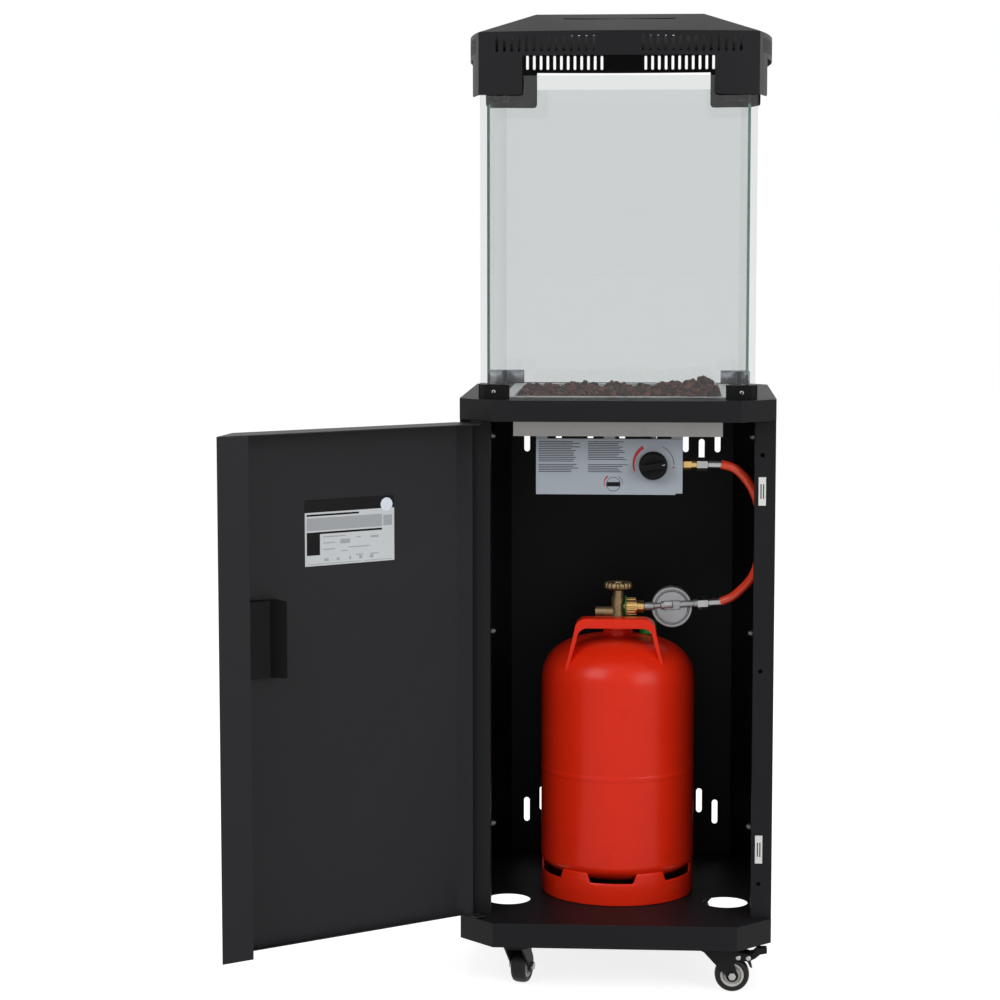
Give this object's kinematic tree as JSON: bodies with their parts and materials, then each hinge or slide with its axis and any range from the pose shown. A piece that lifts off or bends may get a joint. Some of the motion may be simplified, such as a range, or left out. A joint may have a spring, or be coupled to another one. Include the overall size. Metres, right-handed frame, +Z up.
{
  "type": "gas patio heater",
  "caption": "Free-standing gas patio heater: cabinet on casters with a door and a gas bottle, burner in the table top, glass firebox and a slotted hood.",
  "frame": {"origin": "on the floor under the middle of the eight-sided cabinet", "axes": "+Z up, -Y towards the front that the door closes, +X to the right seen from the front"},
  "size_m": [0.7497, 0.6908, 1.4],
  "materials": {
    "black_steel": "satin",
    "panel_silver": "satin",
    "stainless": "brushed",
    "zinc": "satin",
    "cast_zinc": "cast",
    "brass": "satin",
    "bottle_red": "gloss",
    "hose_red": "matte",
    "black_plastic": "matte",
    "white_plastic": "satin",
    "green_plastic": "gloss",
    "hub_plastic": "matte",
    "tyre": "matte",
    "glass": "clear",
    "lava": "rough",
    "ceramic": "glazed"
  },
  "bodies": {
    "cabinet": {"base_tray": "black_steel", "caster_brackets": "black_steel", "caster_plates": "black_steel", "side_panel_left": "black_steel", "side_panel_right": "black_steel", "rear_panel": "black_steel", "post_left": "black_steel", "post_right": "black_steel", "dome_screws": "zinc", "magnetic_catches": "white_plastic", "table_top": "black_steel", "burner_pan": "stainless", "burner_plate": "stainless", "lava_rocks": "lava", "burner_probes": "ceramic", "control_panel": "panel_silver", "gas_valve": "cast_zinc", "gas_pipe": "stainless", "inlet_fitting": "brass", "hose_fittings": "zinc", "gas_hose": "hose_red", "regulator": "cast_zinc", "union_nut": "brass", "bottle_body": "bottle_red", "bottle_foot_ring": "bottle_red", "bottle_handle": "bottle_red", "bottle_valve": "brass", "outlet_cap": "green_plastic", "glass_front": "glass", "glass_rear": "glass", "glass_left": "glass", "glass_right": "glass", "glass_brackets": "black_plastic", "hood_clips": "black_plastic", "hood_skirt": "black_steel", "hood_roof": "black_steel"},
    "door": {"door_panel": "black_steel", "door_handle_cup": "black_plastic", "hinge_pins": "zinc"},
    "spindle": {"valve_spindle": "zinc"},
    "knob": {"control_knob": "black_plastic"},
    "handwheel": {"valve_handwheel": "brass"},
    "caster_front_right": {"fork_front_right": "black_steel", "axle_front_right": "zinc"},
    "roller_front_right": {"wheel_front_right": "hub_plastic", "tyre_front_right": "tyre"},
    "caster_front_left": {"fork_front_left": "black_steel", "axle_front_left": "zinc"},
    "roller_front_left": {"wheel_front_left": "hub_plastic", "tyre_front_left": "tyre"},
    "caster_rear_right": {"fork_rear_right": "black_steel", "axle_rear_right": "zinc"},
    "roller_rear_right": {"wheel_rear_right": "hub_plastic", "tyre_rear_right": "tyre"},
    "caster_rear_left": {"fork_rear_left": "black_steel", "axle_rear_left": "zinc"},
    "roller_rear_left": {"wheel_rear_left": "hub_plastic", "tyre_rear_left": "tyre"},
    "pedal_front_right": {"brake_front_right": "black_steel"},
    "pedal_rear_left": {"brake_rear_left": "black_steel"}
  },
  "joints": [
    {"name": "door_hinge", "type": "hinge", "parent": "cabinet", "child": "door", "pos_m": [-0.1985, -0.195, 0.466], "axis": [0, 0, 1], "range_deg": [-6, 143]},
    {"name": "knob_turn", "type": "hinge", "parent": "cabinet", "child": "spindle", "pos_m": [0.051, -0.1515, 0.76], "axis": [0, -1, 0], "range_deg": [0, 215]},
    {"name": "knob_press", "type": "slide", "parent": "spindle", "child": "knob", "axis": [0, 1, 0], "range_m": [0, 0.004], "stiffness_N_per_m": 500},
    {"name": "bottle_valve_turn", "type": "hinge", "parent": "cabinet", "child": "handwheel", "pos_m": [-0.001, -0.008, 0.5594], "axis": [0, 0, 1], "range_deg": [0, 720]},
    {"name": "swivel_front_right", "type": "hinge", "parent": "cabinet", "child": "caster_front_right", "pos_m": [0.143, -0.18, 0.0612], "axis": [0, 0, 1], "continuous": true},
    {"name": "roll_front_right", "type": "hinge", "parent": "caster_front_right", "child": "roller_front_right", "pos_m": [0.169, -0.18, 0.025], "axis": [0, 1, 0], "continuous": true},
    {"name": "swivel_front_left", "type": "hinge", "parent": "cabinet", "child": "caster_front_left", "pos_m": [-0.143, -0.18, 0.0612], "axis": [0, 0, 1], "continuous": true},
    {"name": "roll_front_left", "type": "hinge", "parent": "caster_front_left", "child": "roller_front_left", "pos_m": [-0.13627, -0.15489, 0.025], "axis": [-0.9659, 0.2588, 0], "continuous": true},
    {"name": "swivel_rear_right", "type": "hinge", "parent": "cabinet", "child": "caster_rear_right", "pos_m": [0.143, 0.18, 0.0612], "axis": [0, 0, 1], "continuous": true},
    {"name": "roll_rear_right", "type": "hinge", "parent": "caster_rear_right", "child": "roller_rear_right", "pos_m": [0.117, 0.18, 0.025], "axis": [0, -1, 0], "continuous": true},
    {"name": "swivel_rear_left", "type": "hinge", "parent": "cabinet", "child": "caster_rear_left", "pos_m": [-0.143, 0.18, 0.0612], "axis": [0, 0, 1], "continuous": true},
    {"name": "roll_rear_left", "type": "hinge", "parent": "caster_rear_left", "child": "roller_rear_left", "pos_m": [-0.117, 0.18, 0.025], "axis": [0, 1, 0], "continuous": true},
    {"name": "brake_front_right", "type": "hinge", "parent": "caster_front_right", "child": "pedal_front_right", "pos_m": [0.192, -0.18, 0.052], "axis": [0, 1, 0], "range_deg": [0, 12], "stiffness_Nm_per_rad": 0.5},
    {"name": "brake_rear_left", "type": "hinge", "parent": "caster_rear_left", "child": "pedal_rear_left", "pos_m": [-0.094, 0.18, 0.052], "axis": [0, 1, 0], "range_deg": [0, 12], "stiffness_Nm_per_rad": 0.5}
  ]
}
